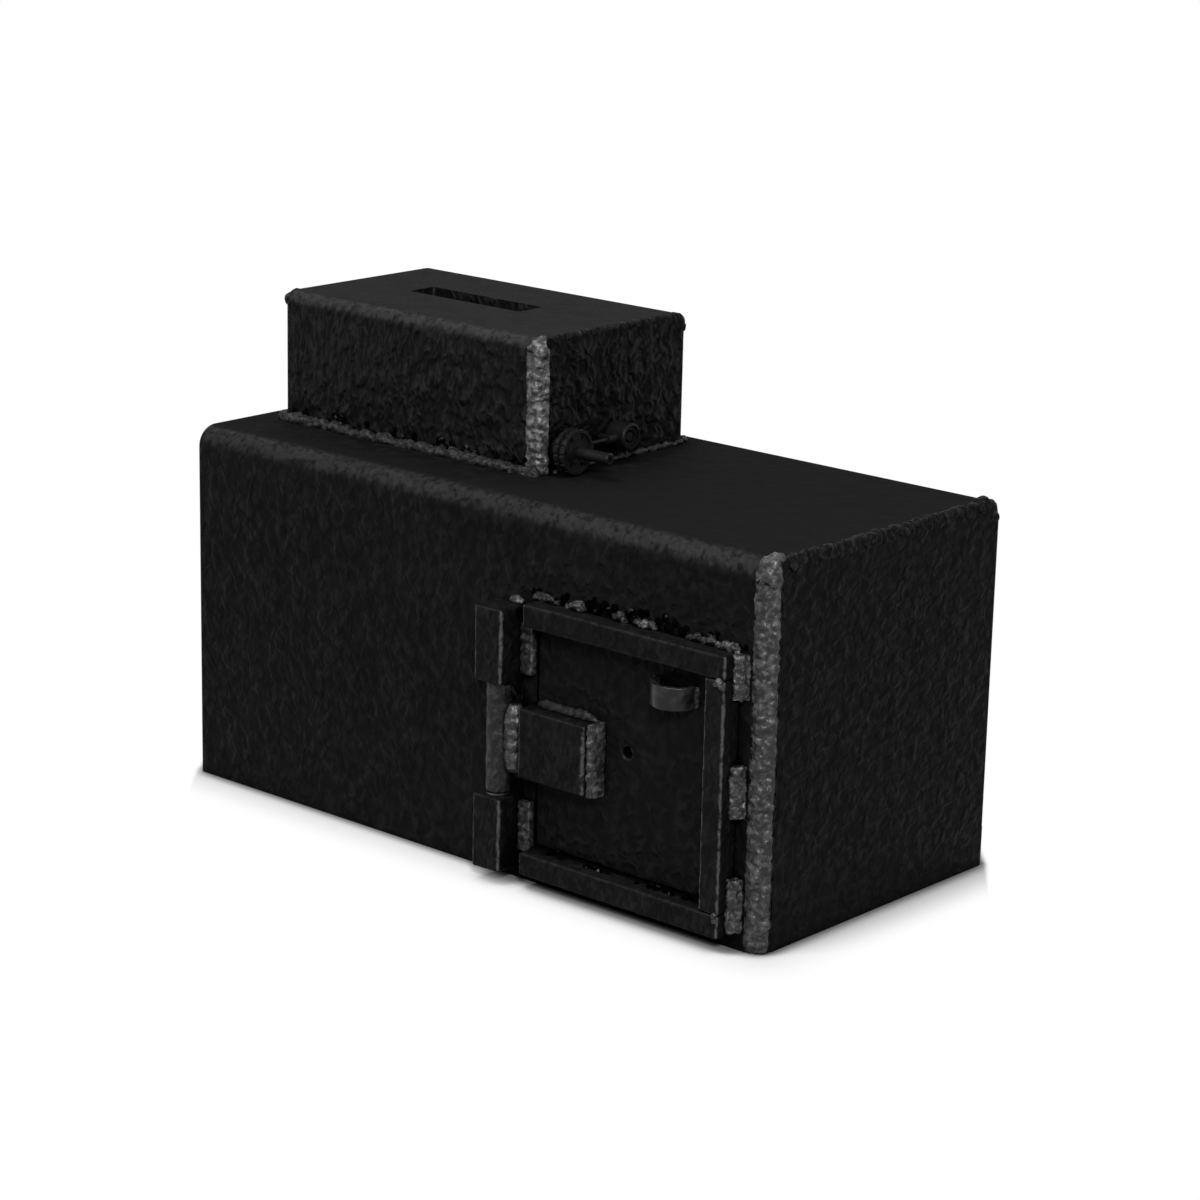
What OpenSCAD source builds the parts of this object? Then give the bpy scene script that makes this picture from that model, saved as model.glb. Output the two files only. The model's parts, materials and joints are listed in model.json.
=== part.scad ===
// Welded steel deposit safe: a long vault box, a chute head with a slot on top,
// a hinged plate door on the front and a key-locked deposit flap inside the head.
// Lengths are millimetres. The origin is the middle of the underside of the vault
// box, +X runs along the box, +Y to the back and +Z up.

/* [Vault box] */
// Length of the vault box
body_l = 413; // [400:1:470]
// Depth of the vault box, front to back
body_w = 191; // [184:1:230]
// Height of the vault box
body_h = 203; // [196:1:250]
// Thickness of the plate of the box, head and door
plate_t = 6.35; // [5:0.05:7]
// Outside radius of the two long bends along the top
body_bend_r = 12; // [11:0.5:16]
// Radius of the ground weld along the edges of each end
end_weld_r = 3.5; // [2:0.25:5]
// Radius of the thick weld down the front right corner
corner_weld_r = 9; // [8:0.25:10]
// Anchor hole radius in the floor of the box
anchor_r = 5.5; // [4:0.25:7]
// Distance between the anchor holes along the box
anchor_span_x = 300; // [240:1:340]
// Distance between the anchor holes from front to back
anchor_span_y = 110; // [80:1:130]

// Height of the flat bar along the foot of the back
back_bar_h = 20; // [12:0.5:30]
// Thickness of the flat bar along the foot of the back
back_bar_t = 3; // [2:0.25:5]

/* [Chute head] */
// Length of the head
head_l = 195; // [180:1:215]
// Depth of the head, front to back
head_w = 118; // [112:1:122]
// Height of the head above the box
head_h = 73.5; // [66:0.5:90]
// Distance from the left end of the box to the head
head_x = 20; // [17:1:34]
// Distance from the front of the box to the head
head_y = 49; // [40:1:54]
// Outside radius of the two long bends of the head
head_bend_r = 8; // [7.5:0.25:10]
// Radius of the ground weld along the end edges of the head
head_weld_r = 3.5; // [2:0.25:5]
// Radius of the thick weld down the head's front right corner
head_corner_r = 9; // [8:0.25:9.25]
// Radius of the weld between the head and the box
base_weld_r = 5; // [4:0.25:5.5]
// Length of one pass of the thick welds
weld_pitch = 6; // [4:0.25:8]
// Length of the deposit slot
slot_l = 84; // [60:1:110]
// Width of the deposit slot
slot_w = 19.5; // [8:0.5:26]
// Distance from the left end of the head to the slot
slot_x = 49; // [40:0.5:60]
// Distance from the front of the head to the slot
slot_y = 49.5; // [48:0.5:54]
// Corner radius of the slot
slot_corner_r = 1.5; // [0.5:0.25:3]
// Ledge left inside the head around the throat
throat_ledge = 4.5; // [3:0.5:6]
// Thickness of the plate that guards the slot
guard_t = 3; // [2:0.25:4]
// Slope of the guard plate in degrees
guard_slope = 16; // [12:1:18]

/* [Door frame] */
// Width and depth of the square bar of the frame
bar_w = 12.7; // [10:0.1:14]
// Width of the door opening
opening_w = 121.8; // [118:0.2:130]
// Height of the door opening
opening_h = 121.6; // [118:0.2:130]
// Distance from the frame to the right end of the box
frame_margin = 17.5; // [12:0.5:22]
// Height of the frame's underside above the floor
frame_z = 7.5; // [7:0.25:14]
// Thickness of the stop strips behind the opening
stop_t = 5; // [4:0.25:6]
// Width of the stop strips
stop_w = 12; // [10:0.5:13]
// Overlap of the stop strips into the opening
stop_lap = 4.5; // [3:0.25:5]
// Radius of the stitch welds on the frame
stitch_r = 5; // [3.5:0.25:5.5]

/* [Hinge] */
// Width of the square hinge blocks
block_w = 19; // [16:0.5:21]
// Length of each hinge block
block_h = 40.5; // [36:0.5:42]
// Outside radius of the hinge barrel
barrel_r = 6.5; // [6:0.1:7.5]
// Length of the hinge barrel
barrel_h = 60; // [56:0.5:64]
// Radius of the hinge pin
hinge_pin_r = 4; // [3:0.1:4.5]
// Depth of the hinge pin in each block
pin_depth = 20; // [12:1:30]
// Distance from the hinge axis to the door opening
hinge_gap = 18; // [17:0.25:19]
// Thickness of the thrust washer under the barrel
washer_t = 1; // [0.5:0.1:1.5]
// Height of the strap
strap_h = 38; // [30:0.5:40]
// Thickness of the strap
strap_t = 12.2; // [9:0.1:13]
// Length of the strap over the door
strap_l = 43.5; // [38:0.5:46]
// Radius of the welds along the strap
strap_weld_r = 5; // [4:0.25:5.5]
// Width of the thick weld down the end of the strap
strap_end_weld = 5.5; // [4:0.25:7]
// Depth of the welds between the hinge blocks and the frame
block_weld_t = 5; // [3:0.25:6]

/* [Door] */
// Gap around the door plate
door_gap = 1.3; // [1.2:0.1:2]
// Distance the door plate stands proud of the box
door_proud = 0.5; // [0.4:0.05:0.6]
// Distance from the hinge side of the opening to the key hole
key_x = 62.6; // [58:0.2:64]
// Height of the key hole above the bottom of the opening
key_z = 66; // [50:0.5:76]
// Radius of the key hole
key_r = 3.2; // [2.6:0.1:3.5]
// Distance from the hinge side of the opening to the finger pull
pull_x = 94.2; // [88:0.2:100]
// Height of the finger pull's lower edge above the bottom of the opening
pull_z = 99; // [96:0.5:103]
// Outside radius of the finger pull
pull_r = 13.3; // [11:0.1:14.5]
// Wall of the finger pull
pull_t = 3; // [2:0.1:4]
// Height of the finger pull
pull_h = 12; // [8:0.5:14]

/* [Door lock] */
// Module of the rack and pinion
tooth_m = 1.5; // [1.4:0.02:1.54]
// Number of teeth of the pinion
pinion_n = 12; // [12:1:13]
// Thickness of the bolt
bolt_t = 8; // [6:0.25:9]
// Height of the bolt's nose
bolt_h = 16; // [13:0.5:18]
// Travel of the bolt
bolt_travel = 12; // [8:0.5:12]
// Wall of the lock case
case_t = 2.5; // [2:0.1:3]
// Radius of the lock case screws
case_screw_r = 2; // [1.5:0.1:2.2]
// Size across the flats of the key socket
socket_af = 5; // [4:0.1:5.5]

/* [Deposit flap] */
// Distance from the front of the head to the flap's spindle
spindle_y = 16; // [16:0.5:20]
// Height of the flap's spindle above the box
spindle_z = 12.75; // [12.75:0.25:16]
// Radius of the flap's spindle
spindle_r = 5; // [4.5:0.1:5.4]
// Length of the flap from its spindle
flap_l = 86; // [70:0.5:88]
// Thickness of the flap
flap_t = 3; // [2:0.1:4]
// Rest angle of the flap above level in degrees
flap_angle = 12; // [10:0.5:14]
// Radius of the index disc
index_r = 12.3; // [11:0.1:12.4]
// Thickness of the index disc
index_t = 7; // [6:0.25:8]
// Number of notches around the index disc
index_n = 16; // [8:1:20]
// Radius of the spindle's outer end
handle_pin_r = 3.2; // [2.5:0.1:4]
// Length of the spindle's outer end
handle_pin_l = 22.5; // [16:0.5:28]

/* [Side lock] */
// Distance from the front of the head to the side lock
lock_y = 60; // [59:0.5:62]
// Height of the side lock above the box
lock_z = 14.25; // [14.25:0.25:16]
// Radius of the side lock's barrel
lock_r = 7.3; // [7:0.1:8]
// Distance the barrel stands out of the head
lock_out = 12.5; // [8:0.5:15]
// Radius of the side lock's plug
plug_r = 4.7; // [4.4:0.1:5]
// Reach of the side lock's cam
cam_l = 12.25; // [11:0.25:12.25]

/* [Hidden] */
$fn = 48;
// Gap between pieces that move against each other
run_gap = 0.3;
// Radial clearance of a shaft in its bore
fit_gap = 0.05;
eps = 0.01;

opening_x = body_l - frame_margin - bar_w - opening_w;
opening_z = frame_z + bar_w;
opening_top = opening_z + opening_h;
frame_right = opening_x + opening_w + bar_w;

hinge_x = opening_x - hinge_gap;
hinge_y = -block_w / 2;
barrel_z = frame_z + block_h + washer_t + run_gap;
upper_block_z = barrel_z + barrel_h + run_gap;
strap_x = hinge_x + barrel_r + 9.5;
strap_z = barrel_z + (barrel_h - strap_h) / 2;
strap_end = opening_x + strap_l;

door_y = -door_proud;
door_back = door_y + plate_t;
door_w = opening_w - 2 * door_gap;
door_h = opening_h - 2 * door_gap;

head_right = head_x + head_l;
head_top = body_h + head_h;
head_back = head_y + head_w;
throat_x = head_x + plate_t + throat_ledge;
throat_l = head_l - 2 * (plate_t + throat_ledge);
throat_y = head_y + plate_t + throat_ledge;
throat_w = head_w - 2 * (plate_t + throat_ledge);

axle_y = head_y + spindle_y;
axle_z = body_h + spindle_z;
boss_l = 6;
boss_r = 7.2;
index_x = head_right + boss_l + run_gap;
flap_side_gap = 12;
flap_x0 = head_x + plate_t + flap_side_gap - 5;
flap_x1 = head_right - plate_t - flap_side_gap;
flap_hub_r = spindle_r + 3;

lock_cy = head_y + lock_y;
lock_cz = body_h + lock_z;
lock_inner_r = 6.5;
nut_t = 5;
nut_r = 10.5;
cam_t = 3;
cam_w = 9;
cam_x = head_right - plate_t - nut_t - 0.6 - cam_t;
plug_recess = 1.5;

key_cx = opening_x + key_x;
key_cz = opening_z + key_z;
pitch_r = tooth_m * pinion_n / 2;
addendum = 0.8 * tooth_m;
dedendum = addendum + 0.3;
pressure = 25;
backlash = 0.3;
base_r = pitch_r * cos(pressure);
bolt_y = plate_t + stop_t + 1;
pitch_z = key_cz + pitch_r;
rack_root_z = pitch_z + dedendum;
bolt_top = pitch_z - addendum + bolt_h;
rack_pitch = PI * tooth_m;
rack_first = -ceil((bolt_travel + 5) / rack_pitch);
rack_x0 = key_cx + (rack_first - 0.6) * rack_pitch;
bolt_nose_x = key_cx + 1.8 * rack_pitch;
bolt_tip = opening_x + opening_w - stop_lap - 3.5;
front_plate_t = 3;
screw_bite = 4;
front_journal_r = 5;
rear_journal_r = 4;
case_flange = 8;
case_x0 = rack_x0 - 1 - case_t;
case_x1 = bolt_tip - 9;
case_z0 = key_cz - 15;
case_z1 = bolt_top + 4;
case_back = bolt_y + bolt_t + 1 + case_t;

black = "#1c1c1d";
weld = "#2a2a2c";
bare = "#8d8f92";
plated = "#a9a695";

// Moves pieces measured from the front left bottom corner of the box to the origin
module bench() translate([-body_l / 2, -body_w / 2, 0]) children();

// Lays a drawing of the YZ plane along +X
module along_x(length) rotate([90, 0, 90]) linear_extrude(length) children();

// Turns a solid made along +Z so that it points along +X
module point_x() rotate([0, 90, 0]) children();

// Turns a solid made along +Z so that it points along +Y
module point_y() rotate([-90, 0, 0]) children();

// Outline with two round upper corners
module arch(w, h, r) {
    translate([r, 0]) square([w - 2 * r, h]);
    square([w, h - r]);
    for (x = [r, w - r]) translate([x, h - r]) circle(r);
}

module rounded_rect(w, h, r) {
    translate([r, 0]) square([w - 2 * r, h]);
    translate([0, r]) square([w, h - 2 * r]);
    for (x = [r, w - r], y = [r, h - r]) translate([x, y]) circle(r);
}

// Outline of a weld bead: its radius along its length, scalloped by each pass
function bead_radius(s, length, r, pitch, ripple) =
    let(end = min(s, length - s), taper = min(1, 0.55 + 0.45 * end / r))
    taper * (r - ripple * (1 - abs(sin(180 * s / pitch))));

function bead_outline(length, r, pitch, ripple) =
    let(passes = max(1, round(length / pitch)), step = length / passes / 3)
    [for (i = [0 : 3 * passes])
        [bead_radius(i * step, length, r, length / passes, ripple), i * step]];

// Quarter round bead along +Z that fills the corner between +X and +Y
module bead(length, r, pitch = 4.5, ripple = 0.7)
    rotate_extrude(angle = 90)
        polygon(concat([[0, 0]], bead_outline(length, r, pitch, ripple), [[0, length]]));

// Section of a ground end weld: x runs in from the end face, y in from the side
module end_section(r) {
    translate([r, r]) rotate(180) quarter_disc(r);
    translate([0, r]) square([r, plate_t - r]);
}

// Weld that closes the edges of an end: two upright, the bends and the top.
// It is drawn for the left end, whose outer face is the plane x = 0.
module end_weld(w, h, bend_r, r, fronts = [0, 1]) {
    for (m = fronts)
        translate([0, m * w, 0]) mirror([0, m, 0]) linear_extrude(h - bend_r) end_section(r);
    for (m = [0, 1])
        translate([0, m * w, 0]) mirror([0, m, 0])
            translate([0, bend_r, h - bend_r]) rotate([180, 0, 0]) rotate([0, 90, 0])
                rotate_extrude(angle = 90) translate([bend_r, 0]) rotate(90) end_section(r);
    translate([0, bend_r, h]) rotate([-90, 0, 0]) linear_extrude(w - 2 * bend_r) end_section(r);
}

// Thick weld down an upright corner. It is drawn for the front left corner.
module corner_weld(length, r) translate([r, r, 0]) rotate([0, 0, 180])
    bead_plain(length, r, weld_pitch, 0.5);

// Quarter disc in the corner between +X and +Y of the drawing
module quarter_disc(r) intersection() {
    circle(r);
    square(r);
}

// Quarter round bead of full size up to both of its ends
module bead_plain(length, r, pitch, ripple) {
    passes = round(length / pitch);
    step = length / passes / 2;
    rotate_extrude(angle = 90)
        polygon(concat([[0, 0]],
            [for (i = [0 : 2 * passes]) [r - (i % 2 == 0 ? 0 : ripple), i * step]],
            [[0, length]]));
}

module bent_shell(l, w, h, r, weld_r) {
    inner_r = max(0.5, r - plate_t);
    translate([weld_r, 0, 0]) along_x(l - 2 * weld_r) difference() {
        arch(w, h, r);
        translate([plate_t, -eps]) arch(w - 2 * plate_t, h - plate_t + eps, inner_r);
    }
}

module end_plate(w, h, bend_r)
    along_x(plate_t) translate([plate_t, 0])
        arch(w - 2 * plate_t, h - plate_t, max(0.5, bend_r - plate_t));

// Room for the thick weld, cut from the foot of an end up to its bend
module corner_room(x, h, r) translate([x - r, -1, -1]) cube([r + 1, r + 1, h + 1]);

module body_shell() color(black) bench() difference() {
    bent_shell(body_l, body_w, body_h, body_bend_r, end_weld_r);
    corner_room(body_l, body_h - body_bend_r, corner_weld_r);
    translate([opening_x, -1, opening_z]) cube([opening_w, plate_t + 2, opening_h]);
    translate([throat_x, throat_y, body_h - plate_t - 1]) cube([throat_l, throat_w, plate_t + 2]);
}

module end_plate_left() color(black) bench() end_plate(body_w, body_h, body_bend_r);

module end_plate_right() color(black) bench() difference() {
    translate([body_l - plate_t, 0, 0]) end_plate(body_w, body_h, body_bend_r);
    corner_room(body_l, body_h - body_bend_r, corner_weld_r);
}

module bottom_plate() color(black) bench() difference() {
    translate([plate_t, plate_t, 0])
        cube([body_l - 2 * plate_t, body_w - 2 * plate_t, plate_t]);
    corner_room(body_l, plate_t + 2, corner_weld_r);
    for (sx = [-1, 1], sy = [-1, 1])
        translate([body_l / 2 + sx * anchor_span_x / 2, body_w / 2 + sy * anchor_span_y / 2, -1])
            cylinder(r = anchor_r, h = plate_t + 2);
}

module end_weld_right() color(weld) bench() translate([body_l, 0, 0]) mirror([1, 0, 0])
    end_weld(body_w, body_h, body_bend_r, end_weld_r, [1]);

module end_weld_left() color(weld) bench() end_weld(body_w, body_h, body_bend_r, end_weld_r);

module body_corner_weld() color(weld) bench() translate([body_l, 0, 0]) mirror([1, 0, 0])
    corner_weld(body_h - body_bend_r, corner_weld_r);

// Flat bar welded along the foot of the back
module back_bar() color(black) bench() translate([end_weld_r, body_w, 0])
    cube([body_l - 2 * end_weld_r, back_bar_t, back_bar_h]);

module head_place() bench() translate([head_x, head_y, body_h]) children();

module head_shell() color(black) head_place() difference() {
    bent_shell(head_l, head_w, head_h, head_bend_r, head_weld_r);
    corner_room(head_l, head_h - head_bend_r, head_corner_r);
    translate([slot_x, slot_y, head_h - plate_t - 1]) linear_extrude(plate_t + 2)
        rounded_rect(slot_l, slot_w, slot_corner_r);
}

module head_end_left() color(black) head_place() end_plate(head_w, head_h, head_bend_r);

module head_end_right() color(black) head_place() difference() {
    translate([head_l - plate_t, 0, 0]) end_plate(head_w, head_h, head_bend_r);
    corner_room(head_l, head_h - head_bend_r, head_corner_r);
    translate([head_l - plate_t - 1, spindle_y, spindle_z]) point_x()
        cylinder(r = boss_r - 1, h = plate_t + 2);
    translate([head_l - plate_t - 1, lock_y, lock_z]) point_x()
        cylinder(r = lock_inner_r, h = plate_t + 2);
}

module head_weld_right() color(weld) head_place() translate([head_l, 0, 0]) mirror([1, 0, 0])
    end_weld(head_w, head_h, head_bend_r, head_weld_r, [1]);

module head_weld_left() color(weld) head_place()
    end_weld(head_w, head_h, head_bend_r, head_weld_r);

module head_corner_weld() color(weld) head_place() translate([head_l, 0, 0]) mirror([1, 0, 0])
    corner_weld(head_h - head_bend_r, head_corner_r);

// Weld around the foot of the head: four runs and four rounded corners
module foot_run(length) bead_plain(length, base_weld_r, weld_pitch, 0.4);
module head_base_weld() color(weld) head_place() {
    near = head_corner_r;
    far = head_weld_r;
    translate([far, 0, 0]) rotate([90, 0, 90]) mirror([1, 0, 0]) foot_run(head_l - near - far);
    translate([far, head_w, 0]) rotate([90, 0, 90]) foot_run(head_l - 2 * far);
    translate([head_l, head_w - far, 0]) rotate([90, 0, 0]) foot_run(head_w - near - far);
    translate([0, far, 0]) rotate([90, 0, 180]) foot_run(head_w - 2 * far);
    for (mx = [0, 1], my = [0, 1]) {
        turn_r = mx == 1 && my == 0 ? near : far;
        translate([mx * head_l, my * head_w, 0]) mirror([mx, 0, 0]) mirror([0, my, 0])
            translate([turn_r, turn_r, 0]) rotate([0, 0, 180])
                rotate_extrude(angle = 90) translate([turn_r, 0]) quarter_disc(base_weld_r);
    }
}

// Sloping plate under the slot that stops anything being fished out
module slot_guard() color(black) bench() {
    reach = head_w - 2 * plate_t - spindle_y - 18;
    back_gap = guard_t * sin(guard_slope) + 0.5;
    translate([head_x + plate_t, head_back - plate_t - back_gap, head_top - plate_t - 6])
        rotate([guard_slope, 0, 0]) translate([0, -reach, -guard_t])
            cube([head_l - 2 * plate_t, reach, guard_t]);
}

module frame_bar(x, z, l, h) color(black) bench() translate([x, -bar_w, z]) cube([l, bar_w, h]);

module frame_top_bar() frame_bar(opening_x, opening_top, opening_w + bar_w, bar_w);
module frame_right_bar() frame_bar(opening_x + opening_w, opening_z, bar_w, opening_h);
module frame_bottom_bar() frame_bar(opening_x, frame_z, opening_w + bar_w, bar_w);

// Stitch welds along the top of the frame and down its right side
// Each entry is the start and the length of a bead along its bar.
top_stitches = [[1.5, 32], [53, 26], [102.5, 30]];
side_stitches = [[1, 30], [59, 27], [110, 24]];
module frame_welds() color(weld) bench() {
    for (s = top_stitches)
        translate([opening_x + s[0], 0, opening_top + bar_w])
            rotate([90, 0, 90]) mirror([1, 0, 0]) bead(s[1], stitch_r);
    for (s = side_stitches)
        translate([frame_right, 0, opening_z + opening_h + bar_w - s[0] - s[1]])
            mirror([0, 1, 0]) bead(s[1], stitch_r);
}

module hinge_block(z) color(black) bench() difference() {
    translate([hinge_x - block_w / 2, -block_w, z]) cube([block_w, block_w, block_h]);
    translate([hinge_x, hinge_y, z > barrel_z ? z - 1 : z + block_h - pin_depth])
        cylinder(r = hinge_pin_r, h = pin_depth + 1);
}

module hinge_block_upper() hinge_block(upper_block_z);
module hinge_block_lower() hinge_block(frame_z);

// Welds that fill the space between each hinge block and the frame
module block_fill(length) {
    passes = round(length / weld_pitch);
    step = length / passes / 2;
    along_x(hinge_gap - block_w / 2) polygon(concat([[0, 0]],
        [for (i = [0 : 2 * passes]) [i % 2 == 0 ? 0.8 - block_weld_t : -block_weld_t, i * step]],
        [[0, length]]));
}
module hinge_block_welds() color(weld) bench() {
    for (z = [frame_z + 9.5, upper_block_z + 4])
        translate([hinge_x + block_w / 2, 0, z]) block_fill(block_h - 13);
    translate([hinge_x - 1, 0, upper_block_z + block_h])
        rotate([90, 0, 90]) mirror([1, 0, 0]) bead(block_w / 2, stitch_r);
}

module hinge_pin() color(bare) bench()
    translate([hinge_x, hinge_y, frame_z + block_h - pin_depth])
        cylinder(r = hinge_pin_r, h = upper_block_z - frame_z - block_h + 2 * pin_depth);

module thrust_washer() color(bare) bench() translate([hinge_x, hinge_y, frame_z + block_h])
    difference() {
        cylinder(r = barrel_r, h = washer_t);
        translate([0, 0, -1]) cylinder(r = hinge_pin_r, h = washer_t + 2);
    }

// Strips inside the box that the door closes against
module stop_strip(x, z, l, h) color(black) bench()
    translate([x, plate_t, z]) cube([l, stop_t, h]);

stop_out = stop_w - stop_lap;
module door_stop_top()
    stop_strip(opening_x + 6, opening_top - stop_lap, opening_w - 6 - stop_lap, stop_w);
module door_stop_right()
    stop_strip(opening_x + opening_w - stop_lap, opening_z - stop_out, stop_w,
        opening_h + 2 * stop_out);
module door_stop_bottom()
    stop_strip(opening_x + 6, opening_z - stop_out, opening_w - 6 - stop_lap, stop_w);

module spindle_bush_right() color(bare) bench()
    translate([head_right - plate_t - 3, axle_y, axle_z]) point_x() difference() {
        union() {
            cylinder(r = boss_r - 1, h = plate_t + 3);
            translate([0, 0, plate_t + 3]) cylinder(r = boss_r, h = boss_l);
        }
        translate([0, 0, -1]) cylinder(r = spindle_r + fit_gap, h = plate_t + boss_l + 5);
    }

module spindle_bush_left() color(bare) bench()
    translate([head_x + plate_t, axle_y, axle_z]) point_x() difference() {
        cylinder(r = boss_r + 0.7, h = flap_side_gap - 5 - run_gap);
        translate([0, 0, -1]) cylinder(r = spindle_r + fit_gap, h = flap_side_gap);
    }

module flap_spindle() color(bare) bench() translate([0, axle_y, axle_z]) {
    inner_l = head_right + boss_l + run_gap - head_x - plate_t - run_gap;
    tip_x = index_x + index_t;
    translate([head_x + plate_t + run_gap, 0, 0]) point_x() cylinder(r = spindle_r, h = inner_l);
    translate([index_x - eps, 0, 0]) point_x() cylinder(r = spindle_r - 1, h = index_t + eps);
    translate([tip_x - eps, 0, 0]) point_x() difference() {
        union() {
            cylinder(r = handle_pin_r, h = handle_pin_l - 0.6);
            translate([0, 0, handle_pin_l - 0.6])
                cylinder(r1 = handle_pin_r, r2 = handle_pin_r - 0.6, h = 0.6);
        }
        translate([0, 0, handle_pin_l - 7]) cylinder(r = 1.5, h = 8);
    }
}

// Swings a piece drawn level behind the spindle up to the flap's rest angle
module flap_place() bench() translate([0, axle_y, axle_z]) rotate([flap_angle, 0, 0]) children();

module deposit_flap() color(bare) flap_place() difference() {
    union() {
        translate([flap_x0, 0, 0]) point_x() cylinder(r = flap_hub_r, h = flap_x1 - flap_x0);
        translate([flap_x0, 0, -flap_t / 2]) cube([flap_x1 - flap_x0, flap_l, flap_t]);
    }
    translate([flap_x0 - 1, 0, 0]) point_x() cylinder(r = spindle_r, h = flap_x1 - flap_x0 + 2);
}

catch_start = (lock_y - spindle_y) / cos(flap_angle) + 6;
module flap_catch() color(bare) flap_place()
    translate([flap_x1 - 6, catch_start, -flap_t / 2 - 2.6])
        cube([cam_x + cam_t - flap_x1 + 5.8, 8, 2.6]);

// Two rims with a groove between them, notched all round and drilled
module index_disc() color(bare) bench() translate([index_x, axle_y, axle_z]) point_x()
    difference() {
        rotate_extrude() polygon([
            [spindle_r - 1, 0], [index_r, 0], [index_r, 0.34 * index_t],
            [index_r - 2.6, 0.42 * index_t], [index_r - 2.6, 0.55 * index_t],
            [index_r, 0.63 * index_t], [index_r, index_t - 0.5], [index_r - 0.5, index_t],
            [index_r - 1.9, index_t], [index_r - 2.4, index_t - 1.2],
            [spindle_r + 1.6, index_t - 1.2], [spindle_r + 1.2, index_t],
            [spindle_r - 1, index_t]]);
        for (a = [0 : 360 / index_n : 359])
            rotate([0, 0, a]) translate([index_r + 0.35, 0, -1]) cylinder(r = 1.1, h = index_t + 2, $fn = 16);
        for (a = [30 : 60 : 359])
            rotate([0, 0, a]) translate([(index_r + spindle_r) / 2 - 0.3, 0, -1])
                cylinder(r = 1.2, h = index_t + 2, $fn = 16);
    }

// Small rod beside the side lock whose round tip points at the rim of the disc
module index_pointer() color(bare) bench() {
    tip_r = 1.1;
    body_r = 2.2;
    tip_y = axle_y + index_r + 0.6 + tip_r;
    back_y = lock_cy - lock_r - 0.2;
    z = axle_z + 1.5;
    x = index_x + 1.5;
    foot_y = back_y - 4;
    translate([x, tip_y, z]) sphere(r = tip_r);
    translate([x, tip_y, z]) point_y() cylinder(r = tip_r, h = foot_y - tip_y);
    translate([x, foot_y - 3.5, z]) point_y() cylinder(r = body_r, h = back_y - foot_y + 3.5);
    translate([head_right, foot_y, z]) point_x() cylinder(r = body_r - 0.3, h = x - head_right);
}

module side_lock_barrel() color(plated) bench()
    translate([0, lock_cy, lock_cz]) {
        rear_x = cam_x + cam_t + run_gap;
        difference() {
            union() {
                translate([rear_x, 0, 0]) point_x() cylinder(r = lock_inner_r, h = head_right - rear_x);
                translate([head_right, 0, 0]) point_x() cylinder(r = lock_r, h = lock_out - 0.8);
                translate([head_right + lock_out - 0.8, 0, 0]) point_x()
                    cylinder(r1 = lock_r, r2 = lock_r - 0.8, h = 0.8);
            }
            translate([rear_x - 1, 0, 0]) point_x()
                cylinder(r = plug_r + fit_gap, h = head_right + lock_out - rear_x + 2);
            translate([head_right + lock_out - plug_recess, 0, 0]) point_x()
                cylinder(r = plug_r + 1.2, h = plug_recess + 1);
        }
    }

module side_lock_nut() color(plated) bench()
    translate([head_right - plate_t - nut_t, lock_cy, lock_cz]) point_x() difference() {
        cylinder(r = nut_r, h = nut_t, $fn = 6);
        translate([0, 0, -1]) cylinder(r = lock_inner_r, h = nut_t + 2);
    }

// Plug with a ring shaped key way around a middle post
module side_lock_plug() color(plated) bench() translate([0, lock_cy, lock_cz]) {
    front_x = head_right + lock_out - plug_recess;
    start_x = cam_x + cam_t;
    difference() {
        translate([start_x, 0, 0]) point_x() cylinder(r = plug_r, h = front_x - start_x);
        translate([front_x - 5, 0, 0]) point_x() difference() {
            cylinder(r = plug_r - 0.9, h = 6);
            translate([0, 0, -1]) cylinder(r = plug_r - 2.3, h = 8);
        }
        translate([front_x - 5, plug_r - 2.9, -0.6]) cube([6, 3, 1.2]);
    }
    translate([cam_x, -2.5, -2.5]) cube([cam_t + eps, 5, 5]);
}

// Cam arm that hangs down at rest and swings back under the flap's catch
module side_lock_cam() color(bare) bench() translate([cam_x, lock_cy, lock_cz]) difference() {
    union() {
        point_x() cylinder(r = 6, h = cam_t);
        translate([0, -cam_w / 2, -cam_l]) cube([cam_t, cam_w, cam_l]);
    }
    translate([-1, -2.5, -2.5]) cube([cam_t + 2, 5, 5]);
}

module side_lock_cam_screw() color(plated) bench() translate([cam_x, lock_cy, lock_cz])
    rotate([0, -90, 0]) difference() {
        cylinder(r = 4, h = 2);
        translate([0, 0, 1]) linear_extrude(2) square([5, 0.9], center = true);
    }

module door_plate() color(black) bench() difference() {
    translate([opening_x + door_gap, door_y, opening_z + door_gap]) cube([door_w, plate_t, door_h]);
    translate([key_cx, door_y - 1, key_cz]) point_y() cylinder(r = key_r, h = plate_t + 2);
    case_screw_places() point_y() cylinder(r = case_screw_r, h = screw_bite + 1);
}

module hinge_barrel() color(black) bench() translate([hinge_x, hinge_y, barrel_z]) difference() {
    cylinder(r = barrel_r, h = barrel_h);
    translate([0, 0, -1]) cylinder(r = hinge_pin_r + fit_gap, h = barrel_h + 2);
}

// Thick strap welded on edge to the barrel and flat to the door
module hinge_strap() color(black) bench() {
    edge = 0.8;
    front_y = door_y - strap_t;
    translate([0, 0, strap_z]) linear_extrude(strap_h) polygon([
        [strap_x, door_y], [strap_end, door_y], [strap_end, front_y + edge],
        [strap_end - edge, front_y], [strap_x + edge, front_y], [strap_x, front_y + edge]]);
}

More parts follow.
